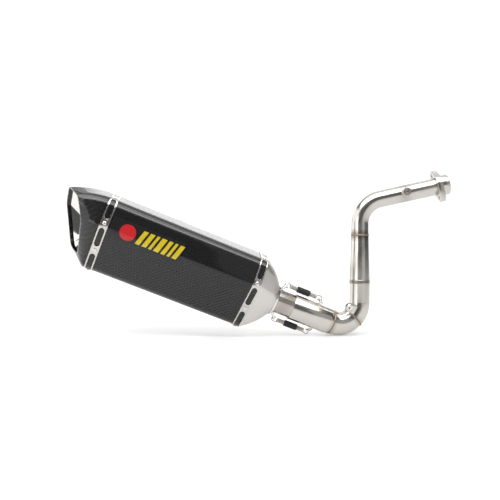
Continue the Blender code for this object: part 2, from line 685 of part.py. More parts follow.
def make_muffler():
    front, rear = SLEEVE_FRONT, SLEEVE_REAR
    sleeve = loft("sleeve", [
        ring(section(), front), ring(section(), rear),
        ring(section(-SLEEVE_WALL), rear), ring(section(-SLEEVE_WALL), front)], "dark_carbon")
    band_rows = (("front_band", front + BAND_WIDTH / 2), ("rear_band", rear - BAND_WIDTH / 2))
    bands = {name: make_band(name, station) for name, station in band_rows}

    fit = -SLEEVE_WALL - GAP
    spigot_in = fit - SPIGOT_WALL
    outline = section()
    collar_r = CONE_COLLAR_OD / 2
    collar_back = CONE_END + CONE_COLLAR_LENGTH + GAP
    cone = loft("inlet_cone", [
        ring(round_like(outline, collar_r), collar_back),
        ring([r.lerp(p, 0.55) for r, p in zip(round_like(outline, collar_r), section())],
             collar_back + (front - collar_back) * 0.42),
        ring(section(-0.5 * MM), front - GAP),
        ring(section(fit), front - GAP), ring(section(fit), front + SPIGOT_LENGTH),
        ring(section(spigot_in), front + SPIGOT_LENGTH), ring(section(spigot_in), front),
        ring([r.lerp(p, 0.5) for r, p in zip(round_like(outline, collar_r - CONE_WALL),
              section(-CONE_WALL * 2))], collar_back + (front - collar_back) * 0.42),
        ring(round_like(outline, collar_r - CONE_WALL), collar_back)], "brushed_tube")
    turned("cone_collar", link_frame, [
        (STUB_R + GAP, CONE_END), (collar_r - 2 * MM, CONE_END), (collar_r, CONE_END + 2 * MM),
        (collar_r, collar_back - GAP), (STUB_R + GAP, collar_back - GAP)], "polished")
    turned("inlet_stub", link_frame, [
        (STUB_R - TUBE_WALL, -SLIP_LAP), (STUB_R, -SLIP_LAP), (STUB_R, STUB_REAR),
        (STUB_R - TUBE_WALL, STUB_REAR)], "heat_tinted")

    shoulder = ring(section(), rear + 4 * MM)
    mouth = slanted(section(scale=MOUTH_SCALE), MOUTH_REACH)
    lip = slanted(section(-CAP_WALL, MOUTH_SCALE), MOUTH_REACH)
    inner_shoulder = ring(section(fit - CAP_WALL), rear + 2 * MM)
    full = section(scale=CAP_FULLNESS)
    belly = part_way(shoulder, slanted(full, MOUTH_REACH), 0.5)
    inner_belly = part_way(inner_shoulder, slanted([p - p.normalized() * CAP_WALL for p in full],
                           MOUTH_REACH - 2 * MM), 0.5)
    cap = loft("end_cap", [
        ring(section(fit), rear - SPIGOT_LENGTH), ring(section(fit), rear + GAP),
        ring(section(), rear + GAP), shoulder, belly, mouth, lip, inner_belly, inner_shoulder,
        ring(section(fit - CAP_WALL), rear - SPIGOT_LENGTH)], "dark_carbon")
    for name, station in band_rows:
        holes = band_holes(name + "_rivet_holes", station)
        for piece in (bands[name], sleeve, cone if name == "front_band" else cap):
            cut(piece, holes)

    throat, throat_r = rear + THROAT_REACH, CORE_OD / 2 + GAP
    straight = throat - THROAT_ROUND
    liner_out = section(-CAP_WALL - 2 * GAP, MOUTH_SCALE)
    liner_in = section(-CAP_WALL - 2 * GAP - LINER_WALL, MOUTH_SCALE)
    loft("outlet_liner", [
        slanted(liner_out, MOUTH_REACH, depth=LINER_DEPTH), ring(even_round(throat_r + 3.5 * MM), throat),
        ring(even_round(throat_r + LINER_WALL), straight),
        ring(even_round(throat_r + LINER_WALL), rear - LINER_LAP),
        ring(even_round(throat_r), rear - LINER_LAP), ring(even_round(throat_r), straight),
        ring(even_round(throat_r + 2 * MM), throat + MM),
        slanted(liner_in, MOUTH_REACH, depth=LINER_DEPTH)], "polished")
    make_core(throat - 6 * MM)
    make_insert(throat)


def make_core(core_rear):
    """Perforated core between two plates, wrapped in fibre packing."""
    core_r = CORE_OD / 2
    core = turned("core_tube", muffler_frame, [
        (STUB_R + GAP, CORE_FRONT), (core_r, CORE_FRONT), (core_r, core_rear),
        (STUB_R + GAP, core_rear)], "raw_steel")
    holes = bmesh.new()
    first, last = FRONT_PLATE + HOLES_FROM_PLATE, REAR_PLATE - HOLES_FROM_PLATE
    for row in range(CORE_HOLE_ROWS):
        station = first + (last - first) * row / (CORE_HOLE_ROWS - 1)
        for k in range(CORE_HOLES_PER_ROW):
            turn = 2 * pi * (k + 0.5 * (row % 2)) / CORE_HOLES_PER_ROW
            out = muffler_frame.to_3x3() @ Vector((cos(turn), sin(turn), 0))
            frame = frame_at(muffler_frame @ Vector((0, 0, station)), out, muffler_dir)
            add_loops(holes, [circle(frame, CORE_HOLE_D / 2, z, 6) for z in
                              (STUB_R - 6 * MM, core_r + 2 * MM)], closed=False)
    cut(core, cutter_object("core_holes", holes))
    edge = -SLEEVE_WALL - GAP
    hole = even_round(core_r + 2 * GAP)
    for name, station in (("front_plate", FRONT_PLATE), ("rear_plate", REAR_PLATE)):
        loft(name, [ring(section(edge), station), ring(section(edge), station + PLATE_THICKNESS),
                    ring(hole, station + PLATE_THICKNESS), ring(hole, station)], "raw_steel")
    packing_out = section(edge - PACKING_CLEARANCE)
    packing_in = even_round(core_r + PACKING_CLEARANCE)
    begin, end = FRONT_PLATE + PLATE_THICKNESS + PACKING_CLEARANCE, REAR_PLATE - PACKING_CLEARANCE
    loft("packing", [ring(packing_out, begin), ring(packing_out, end), ring(packing_in, end),
                     ring(packing_in, begin)], "fibre")


def make_insert(throat):
    """Noise-damper insert: a flanged tube with a small outlet, held by a screw along its axis."""
    outer, bore, flange_r = INSERT_OD / 2, INSERT_BORE / 2, CORE_OD / 2
    front, face = throat - INSERT_LENGTH, throat - INSERT_SINK
    under = face - INSERT_FLANGE
    turned("noise_insert", muffler_frame, [
        (outer - INSERT_WALL, front), (outer, front), (outer, under), (flange_r, under),
        (flange_r, face), (bore, face), (bore, under),
        (outer - INSERT_WALL, under - INSERT_WALL)], "raw_steel")
    spot = (bore + outer) / 2
    screw_frame = muffler_frame @ Matrix.Translation((0, spot, 0))
    seat = face + GAP
    turned("insert_screw", screw_frame, [
        (INSERT_SCREW_D * 0.9, seat), (INSERT_SCREW_D * 0.9, seat + 1.5 * MM),
        (INSERT_SCREW_D * 0.5, seat + 2.5 * MM)], "rivet_metal", closed=False, sides=12)


def make_label():
    """Thin decal that wraps over the near ridge of the sleeve, next to the rear band."""
    ridge = Vector(SECTION[5])
    samples = [PERIMETER * i / 400 for i in range(400)]
    at_ridge = min(samples, key=lambda d: (outline_at(d)[0] - ridge).length)
    rear = SLEEVE_REAR - BAND_WIDTH - 3 * MM
    steps = 8
    near_edge = []
    for i in range(steps + 1):
        point, normal = outline_at(at_ridge + LABEL_RAISE + LABEL_HEIGHT * (0.5 - i / steps))
        near_edge.append((point + normal * GAP, point + normal * (GAP + LABEL_THICKNESS)))
    loops = []
    for low, high in near_edge:
        loops.append([muffler_frame @ Vector((p.x, p.y, z)) for p, z in (
            (low, rear - LABEL_LENGTH), (low, rear), (high, rear), (high, rear - LABEL_LENGTH))])
    loft("label_plate", loops, "black_label", closed=False)


def make_hanger():
    """Bracket on the far side of the sleeve, with a rubber bush and a steel spacer."""
    top, ridge = Vector(SECTION[1]), Vector(SECTION[2])
    out, middle = outward(ridge - top), (top + ridge) / 2
    face = muffler_frame.to_3x3() @ Vector((out.x, out.y, 0))
    foot = muffler_frame @ Vector((middle.x, middle.y, SLEEVE_FRONT + HANGER_AT))
    place = frame_at(foot, face, muffler_dir)
    bush_r, spacer_r, bolt_r = BUSH_OD / 2, SPACER_OD / 2, SPACER_BORE / 2
    cup_r, base_r, height = bush_r + GAP, HANGER_BASE_OD / 2, HANGER_HEIGHT
    wall_r = cup_r + HANGER_CUP_WALL
    turned("hanger_bracket", place, [
        (cup_r, GAP), (base_r, GAP), (base_r, HANGER_BASE_THICKNESS),
        (wall_r, HANGER_BASE_THICKNESS + 2 * MM), (wall_r, height - MM), (cup_r, height - MM)],
        "brushed_tube", sides=20)
    turned("hanger_bush", place, [
        (spacer_r + GAP, 2 * GAP), (bush_r, 2 * GAP), (bush_r, height), (spacer_r + GAP, height)],
        "black_rubber", sides=20)
    turned("hanger_spacer", place, [
        (bolt_r, 2 * GAP), (spacer_r, 2 * GAP), (spacer_r, height + MM), (bolt_r, height + MM)],
        "raw_steel", sides=20)


remove_old_objects()
header_pipe = make_header()
make_head_flange()
make_sensor_bung(header_pipe)
make_header_bracket()
make_springs()
make_muffler()
make_label()
make_hanger()
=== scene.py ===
"""Looks of the motorcycle racing exhaust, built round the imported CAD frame."""

from math import acos, atan2, cos, pi, radians, sin, sqrt, tan

import bmesh
import bpy
from mathutils import Matrix, Vector


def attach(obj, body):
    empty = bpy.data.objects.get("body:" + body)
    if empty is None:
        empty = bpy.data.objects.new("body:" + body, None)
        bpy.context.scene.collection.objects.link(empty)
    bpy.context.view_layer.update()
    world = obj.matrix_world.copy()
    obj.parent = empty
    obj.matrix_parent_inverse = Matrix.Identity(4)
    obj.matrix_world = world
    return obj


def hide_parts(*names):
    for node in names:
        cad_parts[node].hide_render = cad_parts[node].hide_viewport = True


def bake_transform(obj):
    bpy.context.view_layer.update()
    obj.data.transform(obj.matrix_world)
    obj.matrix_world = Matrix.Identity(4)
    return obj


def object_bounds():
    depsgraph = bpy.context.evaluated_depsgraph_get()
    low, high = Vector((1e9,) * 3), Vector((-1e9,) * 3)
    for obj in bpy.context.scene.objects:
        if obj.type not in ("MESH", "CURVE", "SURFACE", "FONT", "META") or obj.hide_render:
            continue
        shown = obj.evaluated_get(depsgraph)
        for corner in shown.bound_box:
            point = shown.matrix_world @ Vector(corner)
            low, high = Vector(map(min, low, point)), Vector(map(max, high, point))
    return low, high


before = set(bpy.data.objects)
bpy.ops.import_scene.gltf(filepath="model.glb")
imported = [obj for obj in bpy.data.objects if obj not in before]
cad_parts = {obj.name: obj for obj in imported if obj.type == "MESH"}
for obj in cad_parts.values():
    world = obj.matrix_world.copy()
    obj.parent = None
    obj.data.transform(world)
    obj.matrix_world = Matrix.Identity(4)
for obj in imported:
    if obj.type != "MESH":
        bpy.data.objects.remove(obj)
cad_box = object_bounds()

MM = 0.001
GAP = 0.3 * MM               # clearance between neighbouring pieces

# ---- sizes that follow the CAD model ----

PORT_TILT = radians(12.5)
HEADER_OD = 32 * MM
TUBE_WALL = 1.5 * MM
COLLAR_LENGTH = 13 * MM
UPPER_STRAIGHT = 128 * MM
UPPER_BEND_R = 47 * MM
TAPER_TOP_Z = -94 * MM
TAPER_END_Z = -177 * MM
LOWER_OD = 37.5 * MM
JOINT_RING_LENGTH = 7 * MM
JOINT_RING_PROUD = 0.9 * MM
LOWER_BEND_TOP_Z = -218 * MM
LOWER_BEND_R = 40 * MM
SEAM_TURN = radians(47)
SEAM_OD = 41.5 * MM
ELBOW_OD = 44.5 * MM
MUFFLER_RISE = radians(22)
MUFFLER_YAW = radians(9)
MUFFLER_ROLL = radians(14)
STUB_OD = 44.4 * MM
LINK_OD = 48 * MM
LINK_LENGTH = 81 * MM
LINK_FLARE = 9 * MM
SLIP_LAP = 38 * MM           # how far the stub reaches into the link pipe
STUB_REAR = 75 * MM
CONE_END = 33 * MM
CONE_COLLAR_OD = 58 * MM
CONE_COLLAR_LENGTH = 4 * MM
SLEEVE_FRONT = 77 * MM
SLEEVE_REAR = 371 * MM
SLEEVE_WALL = 2 * MM
SPIGOT_LENGTH = 16 * MM      # how far the cone and the cap reach inside the sleeve
SPIGOT_WALL = 1.6 * MM
SPIGOT_FIT = SLEEVE_WALL + GAP   # the spigots' faces inside the sleeve's outer face
TOP_HALF_WIDTH, TOP_HEIGHT = 30 * MM, 67 * MM
RIDGE_HALF_WIDTH, RIDGE_HEIGHT = 50 * MM, 22 * MM
BOTTOM_HALF_WIDTH, BOTTOM_HEIGHT = 24 * MM, 68 * MM
CORNER_R = 18 * MM
BAND_WIDTH = 14.5 * MM
RIVETS_PER_BAND = 7
RIVET_HEAD_D = 7 * MM
RIVET_SHANK_D = 3.4 * MM
MOUTH_REACH = 46 * MM
MOUTH_SCALE = 0.75
MOUTH_RAKE = radians(20)
MOUTH_SWEEP = radians(29)
LINER_DEPTH = 7 * MM
LINER_WALL = 1.2 * MM
LINER_LAP = 12 * MM          # how far the liner's round end reaches into the sleeve
CAP_FULLNESS = 0.84
CAP_WALL = 2.2 * MM
THROAT_REACH = 12 * MM
THROAT_R = 24.3 * MM
THROAT_ROUND = 3 * MM
SPRING_WIRE_D = 1.8 * MM
SPRING_OD = 8.6 * MM
SPRING_HOOK_R = 4.2 * MM
SPRING_SLEEVE_OD = 11.4 * MM
SPRING_SLEEVE_LENGTH = 25 * MM
HOOK_BAR_D = 3.5 * MM
STUB_HOOK_BAR = 23 * MM
LINK_HOOK_BAR = -45 * MM
HOOK_BAR_HEIGHT = 33 * MM
HOOK_HALF_SPAN = 6 * MM
HOOK_FOOT_LIFT = 1.45 * MM
HOOK_CORNER = 2 * MM
STUB_HOOK_FOOT = 29 * MM
LINK_HOOK_FOOT = -51 * MM
LABEL_LENGTH, LABEL_HEIGHT, LABEL_RAISE = 128 * MM, 38 * MM, 7 * MM

# ---- sizes of the shown surfaces only ----

CORNER_STEPS = 10
FACET_STEPS = 6
BEND_STEPS = 24
TUBE_SIDES = 72
JOINT_SIDES = 96             # the stub, its collar and the link pipe
BEAD_HEIGHT = 1.0 * MM
RIPPLES = 36                 # weld ripples in one seam
SPRING_PITCH = 2.2 * MM
DISC_FROM_REAR, DISC_R = 31 * MM, 14 * MM
BAR_HEIGHT, BAR_LEAN = 26 * MM, -8 * MM
BARS = ((52, 8), (64, 8), (76, 5), (85, 9), (98, 7), (109, 5), (118, 8))   # mm from the rear, mm wide

# ---- reference axes ----

UP = Vector((0, 0, 1))
AWAY = Vector((0, 1, 0))
into_pipe = Vector((-cos(PORT_TILT), 0, -sin(PORT_TILT)))
upper_bend_centre = into_pipe * UPPER_STRAIGHT + Vector((sin(PORT_TILT), 0, -cos(PORT_TILT))) * UPPER_BEND_R
vertical_x = upper_bend_centre.x - UPPER_BEND_R
heading = Vector((-cos(MUFFLER_YAW), -sin(MUFFLER_YAW), 0))
muffler_dir = heading * cos(MUFFLER_RISE) + UP * sin(MUFFLER_RISE)
lower_bend_centre = Vector((vertical_x, 0, LOWER_BEND_TOP_Z)) + heading * LOWER_BEND_R
lower_turn = pi / 2 + MUFFLER_RISE


def frame_at(origin, along, up_hint):
    """Frame whose Z runs along a direction and whose Y is as near to up_hint as it can be."""
    z = along.normalized()
    y = (up_hint - z * up_hint.dot(z)).normalized()
    place = Matrix((y.cross(z), y, z)).transposed().to_4x4()
    place.translation = origin
    return place


def lower_bend_at(turn):
    centre = lower_bend_centre - (heading * cos(turn) + UP * sin(turn)) * LOWER_BEND_R
    return centre, heading * sin(turn) - UP * cos(turn)


link_frame = frame_at(lower_bend_at(lower_turn)[0] + muffler_dir * LINK_LENGTH, muffler_dir, UP)
muffler_frame = link_frame @ Matrix.Rotation(-MUFFLER_ROLL, 4, "Z")

# ---- materials ----

def linear(code):
    """sRGB hex colour as linear red, green and blue."""
    values = [int(code[i:i + 2], 16) / 255 for i in (1, 3, 5)]
    return [v / 12.92 if v <= 0.04045 else ((v + 0.055) / 1.055) ** 2.4 for v in values]


def node(tree, kind, settings=None, links=None, **values):
    """Add a node, set its properties and sockets, and link its inputs."""
    made = tree.nodes.new(kind)
    for key, value in (settings or {}).items():
        setattr(made, key, value)
    for key, value in values.items():
        made.inputs[int(key[1:]) if key[1:].isdigit() else key.replace("_", " ")].default_value = value
    for key, source in (links or {}).items():
        tree.links.new(source, made.inputs[key])
    return made


def new_material(name, **sockets):
    material = bpy.data.materials.new(name)
    material.use_nodes = True
    shader = material.node_tree.nodes["Principled BSDF"]
    for key, value in sockets.items():
        if isinstance(value, str):
            value = (*linear(value), 1)
        shader.inputs[key.replace("_", " ")].default_value = value
    return material, material.node_tree, shader


def maths(tree, operation, first, second=None):
    made = tree.nodes.new("ShaderNodeMath")
    made.operation = operation
    for socket, value in zip(made.inputs, (first, second)):
        if value is None:
            continue
        if isinstance(value, (int, float)):
            socket.default_value = value
        else:
            tree.links.new(value, socket)
    return made.outputs[0]


def floor_paint():
    """Matt white painted studio board: a faint unevenness only."""
    material, tree, shader = new_material("matt_white_board", Base_Color="#f4f4f4", Roughness=0.75,
                                          Emission_Color="#ffffff", Emission_Strength=0.25)
    noise = node(tree, "ShaderNodeTexNoise", Scale=3.0)
    rough = node(tree, "ShaderNodeMapRange", links={"Value": noise.outputs[0]}, To_Min=0.7, To_Max=0.8)
    tree.links.new(rough.outputs[0], shader.inputs["Roughness"])
    return material


def steel_nodes(tree, shader, rough, grain_scale, bump=0.04):
    """Fine linishing grain: roughness and height vary in thin scratches."""
    coords = node(tree, "ShaderNodeTexCoord")
    stretch = node(tree, "ShaderNodeMapping", links={"Vector": coords.outputs["Object"]})
    stretch.inputs["Scale"].default_value = grain_scale
    grain = node(tree, "ShaderNodeTexNoise", links={"Vector": stretch.outputs[0]}, Scale=1.0,
                 Detail=4.0)
    smudge = node(tree, "ShaderNodeTexNoise", links={"Vector": coords.outputs["Object"]}, Scale=18.0)
    both = maths(tree, "ADD", maths(tree, "MULTIPLY", grain.outputs[0], 0.6),
                 maths(tree, "MULTIPLY", smudge.outputs[0], 0.4))
    spread = node(tree, "ShaderNodeMapRange", links={"Value": both}, From_Min=0.3, From_Max=0.7,
                  To_Min=rough * 0.75, To_Max=rough * 1.3)
    tree.links.new(spread.outputs[0], shader.inputs["Roughness"])
    height = node(tree, "ShaderNodeBump", links={"Height": grain.outputs[0]}, Strength=bump,
                  Distance=0.0003)
    tree.links.new(height.outputs[0], shader.inputs["Normal"])
    return coords


def heat_tint_and_shade_bands(tree, shader, coords, base, tints):
    """Brown oxide tint where the tube was hot, and painted shade where a band darkens a groove: each band
    is a plane, its normal, a width and a strength.
    """
    colour = None
    for point, normal, width, strength in tints:
        from_point = node(tree, "ShaderNodeVectorMath", {"operation": "SUBTRACT"},
                          {0: coords.outputs["Object"]})
        from_point.inputs[1].default_value = point
        along = node(tree, "ShaderNodeVectorMath", {"operation": "DOT_PRODUCT"},
                     {0: from_point.outputs[0]})
        along.inputs[1].default_value = normal
        distance = maths(tree, "ABSOLUTE", along.outputs["Value"])
        share = node(tree, "ShaderNodeMapRange", {"interpolation_type": "SMOOTHSTEP"},
                     {"Value": distance}, From_Min=0.0, From_Max=width, To_Min=strength, To_Max=0.0)
        mix = node(tree, "ShaderNodeMix", {"data_type": "RGBA"}, {0: share.outputs[0]})
        # brown heat-tint colour, also used as painted shade in the joint ring's groove
        mix.inputs[7].default_value = (*linear("#64513f"), 1)
        if colour is None:
            mix.inputs[6].default_value = (*linear(base), 1)
        else:
            tree.links.new(colour, mix.inputs[6])
        colour = mix.outputs[2]
    tree.links.new(colour, shader.inputs["Base Color"])


def brushed_stainless(name, scale, tints=()):
    """Satin stainless tube, linished round the tube, with brown heat tint at its welds and any painted
    shade bands it is given.
    """
    base = "#c9c5bf"
    material, tree, shader = new_material(name, Base_Color=base, Metallic=1.0, Roughness=0.2)
    coords = steel_nodes(tree, shader, 0.19, scale)
    if tints:
        heat_tint_and_shade_bands(tree, shader, coords, base, tints)
    return material


def polished_steel():
    """Mirror-polished stainless: nearly sharp reflections, faint buffing haze."""
    material, tree, shader = new_material("polished_stainless", Base_Color="#dedcd8", Metallic=1.0,
                                          Roughness=0.1)
    steel_nodes(tree, shader, 0.09, (60, 60, 60), 0.015)
    return material


def satin_cone_metal():
    """Bead-blasted titanium sheet: soft even sheen, no visible grain direction."""
    material, tree, shader = new_material("bead_blasted_titanium", Base_Color="#cfccc8",
                                          Metallic=1.0, Roughness=0.38)
    steel_nodes(tree, shader, 0.36, (900, 900, 900), 0.05)
    return material


def plain_metal(name, colour, rough, grain=(500, 500, 500)):
    material, tree, shader = new_material(name, Base_Color=colour, Metallic=1.0, Roughness=rough)
    steel_nodes(tree, shader, rough, grain)
    return material


def moulded_rubber():
    """Black EPDM rubber: matt with a fine moulded texture."""
    material, tree, shader = new_material("moulded_epdm_rubber", Base_Color="#151515",
                                          Roughness=0.6, IOR=1.52)
    coords = node(tree, "ShaderNodeTexCoord")
    grit = node(tree, "ShaderNodeTexNoise", links={"Vector": coords.outputs["Object"]}, Scale=900.0)
    height = node(tree, "ShaderNodeBump", links={"Height": grit.outputs[0]}, Strength=0.3,
                  Distance=0.0003)
    tree.links.new(height.outputs[0], shader.inputs["Normal"])
    return material


def glass_packing():
    """Needled glass fibre: off-white, matt, matted strands."""
    material, tree, shader = new_material("needled_glass_fibre", Base_Color="#cfc7ab", Roughness=0.95)
    coords = node(tree, "ShaderNodeTexCoord")
    strands = node(tree, "ShaderNodeTexNoise", links={"Vector": coords.outputs["Object"]},
                   Scale=300.0, Detail=6.0)
    height = node(tree, "ShaderNodeBump", links={"Height": strands.outputs[0]}, Strength=0.6,
                  Distance=0.001)
    tree.links.new(height.outputs[0], shader.inputs["Normal"])
    return material


def carbon_twill(name, tow, coat_rough, relief):
    """Twill carbon fibre in clear lacquer: black tows that glint one way or the other.

    UVs are in millimetres along and round the piece, and tow is the width of one tow.
    """
    material, tree, shader = new_material(name, Roughness=0.35, IOR=1.5, Specular_IOR_Level=0.15)
    shader.inputs["Coat Weight"].default_value = 1.0
    shader.inputs["Coat IOR"].default_value = 1.42
    shader.inputs["Coat Roughness"].default_value = coat_rough
    uv = node(tree, "ShaderNodeUVMap", {"uv_map": "along_round_mm"})
    split = node(tree, "ShaderNodeSeparateXYZ", links={0: uv.outputs[0]})
    along = maths(tree, "DIVIDE", split.outputs[0], tow)
    round_way = maths(tree, "DIVIDE", split.outputs[1], tow)
    steps = maths(tree, "ADD", maths(tree, "FLOOR", along), maths(tree, "FLOOR", round_way))
    warp_up = maths(tree, "LESS_THAN", maths(tree, "FLOORED_MODULO", steps, 4.0), 1.5)
    across_warp = maths(tree, "SINE", maths(tree, "MULTIPLY", maths(tree, "FRACT", round_way), pi))
    across_weft = maths(tree, "SINE", maths(tree, "MULTIPLY", maths(tree, "FRACT", along), pi))
    tow_height = node(tree, "ShaderNodeMix", {"data_type": "FLOAT"},
                      {0: warp_up, 2: across_weft, 3: across_warp})
    shade = node(tree, "ShaderNodeMix", {"data_type": "RGBA"}, {0: warp_up})
    shade.inputs[6].default_value = (*linear("#09090a"), 1)
    shade.inputs[7].default_value = (*linear("#151516"), 1)
    tree.links.new(shade.outputs[2], shader.inputs["Base Color"])
    gloss = node(tree, "ShaderNodeMix", {"data_type": "FLOAT"}, {0: warp_up})
    gloss.inputs[2].default_value = 0.45
    gloss.inputs[3].default_value = 0.27
    tree.links.new(gloss.outputs[0], shader.inputs["Roughness"])
    height = node(tree, "ShaderNodeBump", links={"Height": tow_height.outputs[0]}, Strength=relief,
                  Distance=0.0004)
    tree.links.new(height.outputs[0], shader.inputs["Normal"])
    return material


# ---- camera, floor and light ----

VIEW_TARGET = Vector((-0.366, -0.040, -0.121))
VIEW_DISTANCE = 1.2
VIEW_ELEVATION = radians(2)


def make_camera():
    back = Vector((0, -cos(VIEW_ELEVATION), sin(VIEW_ELEVATION)))
    bpy.ops.object.camera_add(location=VIEW_TARGET + back * VIEW_DISTANCE,
                              rotation=(-back).to_track_quat("-Z", "Y").to_euler())
    camera = bpy.context.object
    camera.data.lens = 48
    camera.data.sensor_width = 36
    camera.data.clip_start = 0.01
    bpy.context.scene.camera = camera


def softbox(name, place, target, size, watts, card=False):
    """Rectangular studio light that faces its target; a card shows in reflections only."""
    way = Vector(target) - Vector(place)
    bpy.ops.object.light_add(type="AREA", location=place,
                             rotation=way.to_track_quat("-Z", "Y").to_euler())
    light = bpy.context.object
    light.name = name
    light.data.shape = "RECTANGLE"
    light.data.size, light.data.size_y = size
    light.data.energy = watts
    if card:
        light.visible_diffuse = False
        light.visible_camera = False


def make_studio():
    """White floor that curves up into a back wall, lit from above and from the left."""
    floor_z = cad_box[0][2] - 0.5 * MM
    bpy.ops.object.select_all(action="DESELECT")
    bpy.ops.mesh.primitive_plane_add(size=8, location=(-0.35, -1.0, floor_z))
    floor = bpy.context.object
    floor.name = "studio_floor"
    bpy.ops.object.mode_set(mode="EDIT")
    bpy.ops.mesh.select_all(action="DESELECT")
    bpy.ops.object.mode_set(mode="OBJECT")
    for edge in floor.data.edges:
        edge.select = all(floor.data.vertices[v].co.y > 0 for v in edge.vertices)
    bpy.ops.object.mode_set(mode="EDIT")
    bpy.ops.mesh.select_mode(type="EDGE")
    bpy.ops.mesh.extrude_region_move(TRANSFORM_OT_translate={"value": (0, 0, 2.6)})
    bpy.ops.object.mode_set(mode="OBJECT")
    bevel = floor.modifiers.new("sweep", "BEVEL")
    bevel.width, bevel.segments = 1.2, 12
    bpy.ops.object.modifier_apply(modifier="sweep")
    bpy.ops.object.shade_smooth()
    floor.data.materials.append(floor_paint())
    middle = (-0.35, 0, -0.1)
    softbox("top_box", (-0.4, 0.1, 1.5), middle, (2.6, 1.6), 12)
    softbox("key_box", (-0.4, -1.0, 1.15), middle, (2.4, 0.5), 18)
    softbox("left_box", (-1.9, -0.05, 0.2), (-0.35, -0.05, -0.1), (3.0, 1.6), 22)
    softbox("right_box", (1.1, -1.7, 0.3), middle, (1.6, 1.4), 2.6)
    softbox("wall_box", (-0.4, 1.4, 1.9), (-0.4, 3.0, 0.6), (3.5, 0.8), 40)
    softbox("front_card", (-0.4, -0.5, 1.2), middle, (2.4, 0.9), 24, card=True)
    softbox("back_card", (-0.4, 2.4, 1.2), (-0.4, 0, 0), (4.0, 2.2), 17, card=True)
    softbox("mouth_card", (-1.45, -1.35, -0.1), (-0.65, -0.1, -0.1), (0.6, 0.9), 4, card=True)
    world = bpy.data.worlds.new("studio")
    world.use_nodes = True
    bpy.context.scene.world = world
    background = world.node_tree.nodes["Background"]
    background.inputs["Color"].default_value = (*linear("#f4f5f6"), 1)
    seen = node(world.node_tree, "ShaderNodeLightPath")
    strength = node(world.node_tree, "ShaderNodeMapRange", links={"Value": seen.outputs["Is Camera Ray"]},
                    To_Min=0.12, To_Max=1.1)
    world.node_tree.links.new(strength.outputs[0], background.inputs["Strength"])
    bpy.context.scene.view_settings.view_transform = "Standard"


# ---- making pieces ----

def section(offset=0.0, scale=1.0):
    """Rounded six-sided outline in the muffler's frame, scaled and then moved out by offset."""
    points = [Vector(p) for p in (
        (TOP_HALF_WIDTH, TOP_HEIGHT), (-TOP_HALF_WIDTH, TOP_HEIGHT),
        (-RIDGE_HALF_WIDTH, RIDGE_HEIGHT), (-BOTTOM_HALF_WIDTH, -BOTTOM_HEIGHT),
        (BOTTOM_HALF_WIDTH, -BOTTOM_HEIGHT), (RIDGE_HALF_WIDTH, RIDGE_HEIGHT))]
    corners = []
    for i, corner in enumerate(points):
        before = outward(corner - points[i - 1])
        after = outward(points[(i + 1) % len(points)] - corner)
        centre = corner - (before + after) * (CORNER_R / (1 + before.dot(after)))
        first, sweep = atan2(before.y, before.x), acos(before.dot(after))
        turns = [first + sweep * k / CORNER_STEPS for k in range(CORNER_STEPS + 1)]
        ways = [Vector((cos(t), sin(t))) for t in turns]
        corners.append([(centre + way * CORNER_R) * scale + way * offset for way in ways])
    outline = []
    for corner, following in zip(corners, corners[1:] + corners[:1]):
        shares = [k / FACET_STEPS for k in range(1, FACET_STEPS)]
        outline += corner + [corner[-1].lerp(following[0], share) for share in shares]
    return outline


def outward(way):
    return Vector((way.y, -way.x)).normalized()


def outline_steps():
    outline = section()
    first = 2 * CORNER_STEPS + FACET_STEPS
    outline = outline[first:] + outline[:first]
    return list(zip(outline, outline[1:] + outline[:1]))


STEPS = outline_steps()
PERIMETER = sum((b - a).length for a, b in STEPS)


def outline_at(distance):
    """Point and outward normal at a distance round the section from the top's left end."""
    distance = distance % PERIMETER
    for index, (a, b) in enumerate(STEPS):
        length = (b - a).length
        if distance <= length:
            break
        distance -= length
    share = min(distance / length, 1.0)
    before, after = STEPS[index - 1], STEPS[(index + 1) % len(STEPS)]
    here = outward(b - a)
    start = (here + outward(before[1] - before[0])).normalized()
    end = (here + outward(after[1] - after[0])).normalized()
    return a.lerp(b, share), start.lerp(end, share).normalized()


def ring(outline, height):
    return [muffler_frame @ Vector((p.x, p.y, height)) for p in outline]


def slanted(outline, reach, depth=0.0):
    back = SLEEVE_REAR + reach - depth
    rake, sweep = tan(MOUTH_RAKE), tan(MOUTH_SWEEP)
    return [muffler_frame @ Vector((p.x, p.y, back + p.y * rake - p.x * sweep)) for p in outline]


def round_like(outline, radius):
    return [p.normalized() * radius for p in outline]


def even_round(radius):
    outline = section()
    start, count = atan2(outline[0].y, outline[0].x), len(outline)
    turns = [start + 2 * pi * i / count for i in range(count)]
    return [Vector((cos(t), sin(t))) * radius for t in turns]


def part_way(first, second, share):
    return [a.lerp(b, share) for a, b in zip(first, second)]


def curved_between(first, halfway, last, steps):
    """Loops strictly between first and last, along a smooth curve that passes halfway."""
    pull = [h * 2 - (a + b) / 2 for a, h, b in zip(first, halfway, last)]
    loops = []
    for k in range(1, steps):
        t = k / steps
        loops.append([a * (1 - t) ** 2 + p * 2 * t * (1 - t) + b * t * t
                      for a, p, b in zip(first, pull, last)])
    return loops


def select_only(obj):
    bpy.ops.object.select_all(action="DESELECT")
    obj.select_set(True)
    bpy.context.view_layer.objects.active = obj


def finish_piece(obj, body, material, replaced=(), sharp=35):
    """Smooth the piece's round faces, give it its finish and let it ride on its body."""
    select_only(obj)
    bpy.ops.object.shade_smooth_by_angle(angle=radians(sharp))
    obj.data.materials.clear()
    obj.data.materials.append(material)
    if body:
        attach(obj, body)
    if replaced:
        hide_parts(*replaced)
    return obj


